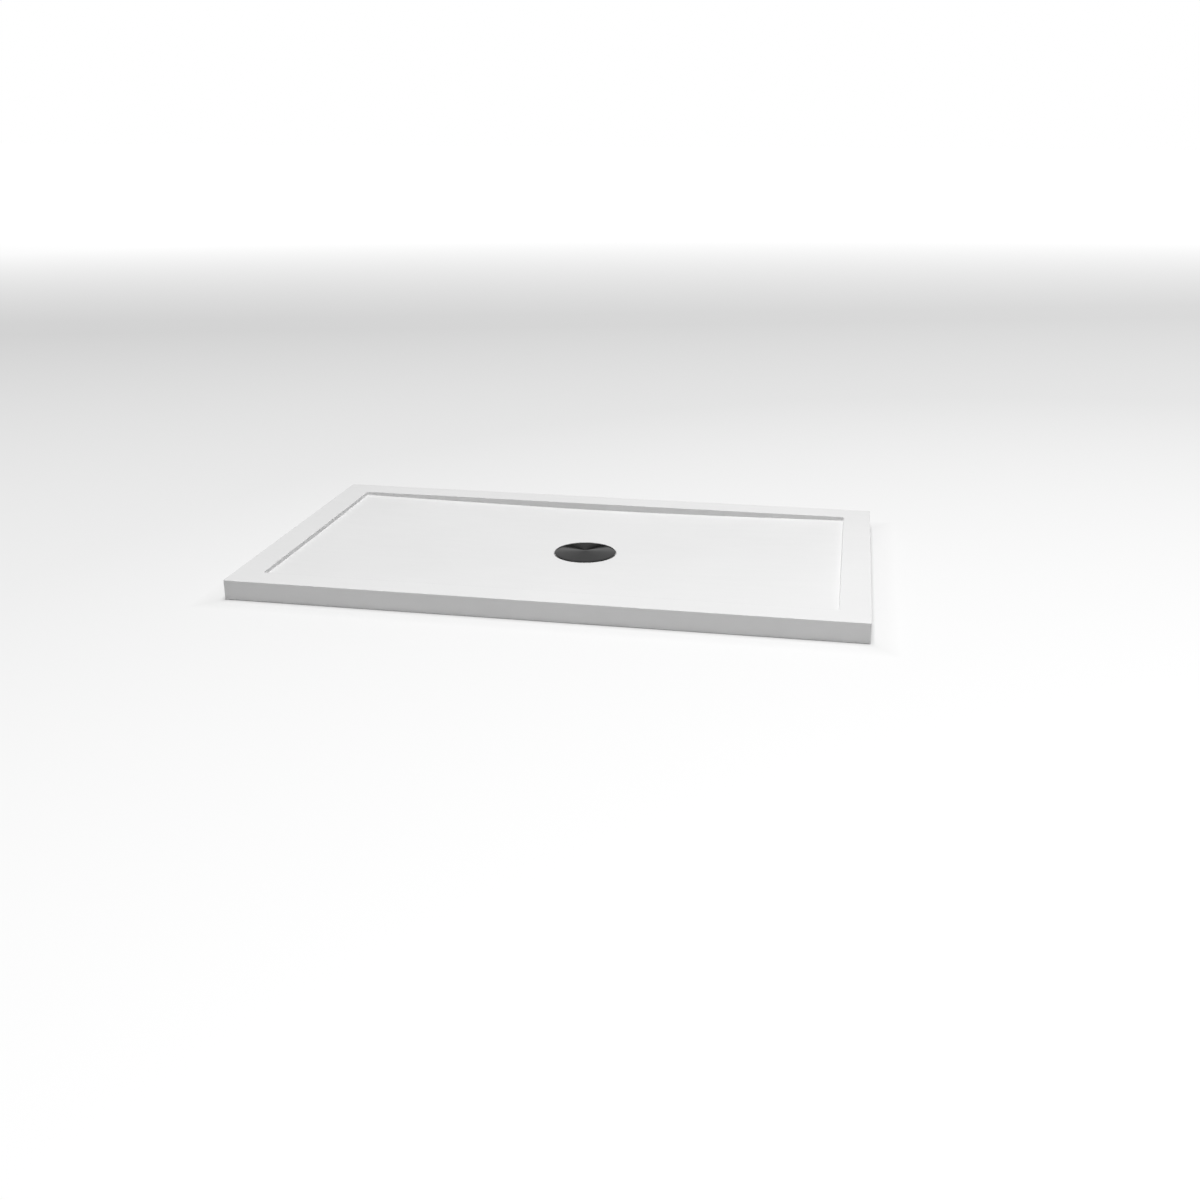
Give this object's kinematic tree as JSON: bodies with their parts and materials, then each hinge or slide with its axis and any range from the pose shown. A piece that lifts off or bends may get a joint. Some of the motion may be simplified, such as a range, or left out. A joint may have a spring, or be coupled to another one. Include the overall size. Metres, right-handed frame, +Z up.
{
  "type": "shower tray",
  "caption": "Low rectangular shower tray with a flat rim, a floor falling to a round waste, and a lift-off conical cover over a lift-out strainer.",
  "frame": {"origin": "middle of the tray's footprint, on the ground that its underside lies on", "axes": "+X along the tray's length, +Y towards the long edge that the picture shows at the back, +Z up"},
  "size_m": [1.4, 0.8, 0.045],
  "materials": {
    "white_acrylic": "gloss white acrylic",
    "stone_resin": "cast stone resin, matt",
    "glass_fibre": "glass-fibre mesh in resin",
    "black_abs": "moulded black plastic",
    "black_rubber": "rubber",
    "white_plastic": "moulded white plastic",
    "stainless": "brushed stainless steel",
    "insert_brass": "turned brass",
    "grey_abs": "moulded grey plastic",
    "dark_chrome": "polished dark chrome"
  },
  "bodies": {
    "tray": {"acrylic_cap": "white_acrylic", "resin_core": "stone_resin", "reinforcing_mesh": "glass_fibre", "drain_body": "black_abs", "flange_gasket": "black_rubber", "lower_washer": "black_rubber", "slip_washer": "white_plastic", "clamp_nut": "black_abs", "flange_trim": "stainless", "flange_screws": "stainless", "thread_inserts": "insert_brass", "outlet_seal": "black_rubber"},
    "strainer": {"strainer_basket": "grey_abs", "strainer_seal": "black_rubber"},
    "cover": {"cover_plate": "dark_chrome", "cover_carrier": "black_abs", "cover_screw": "stainless", "cover_feet": "black_rubber"}
  },
  "joints": [
    {"name": "strainer_lift", "type": "slide", "parent": "tray", "child": "strainer", "axis": [0, 0, 1], "range_m": [0, 0.12]},
    {"name": "cover_lift", "type": "slide", "parent": "strainer", "child": "cover", "axis": [0, 0, 1], "range_m": [0, 0.08]}
  ]
}
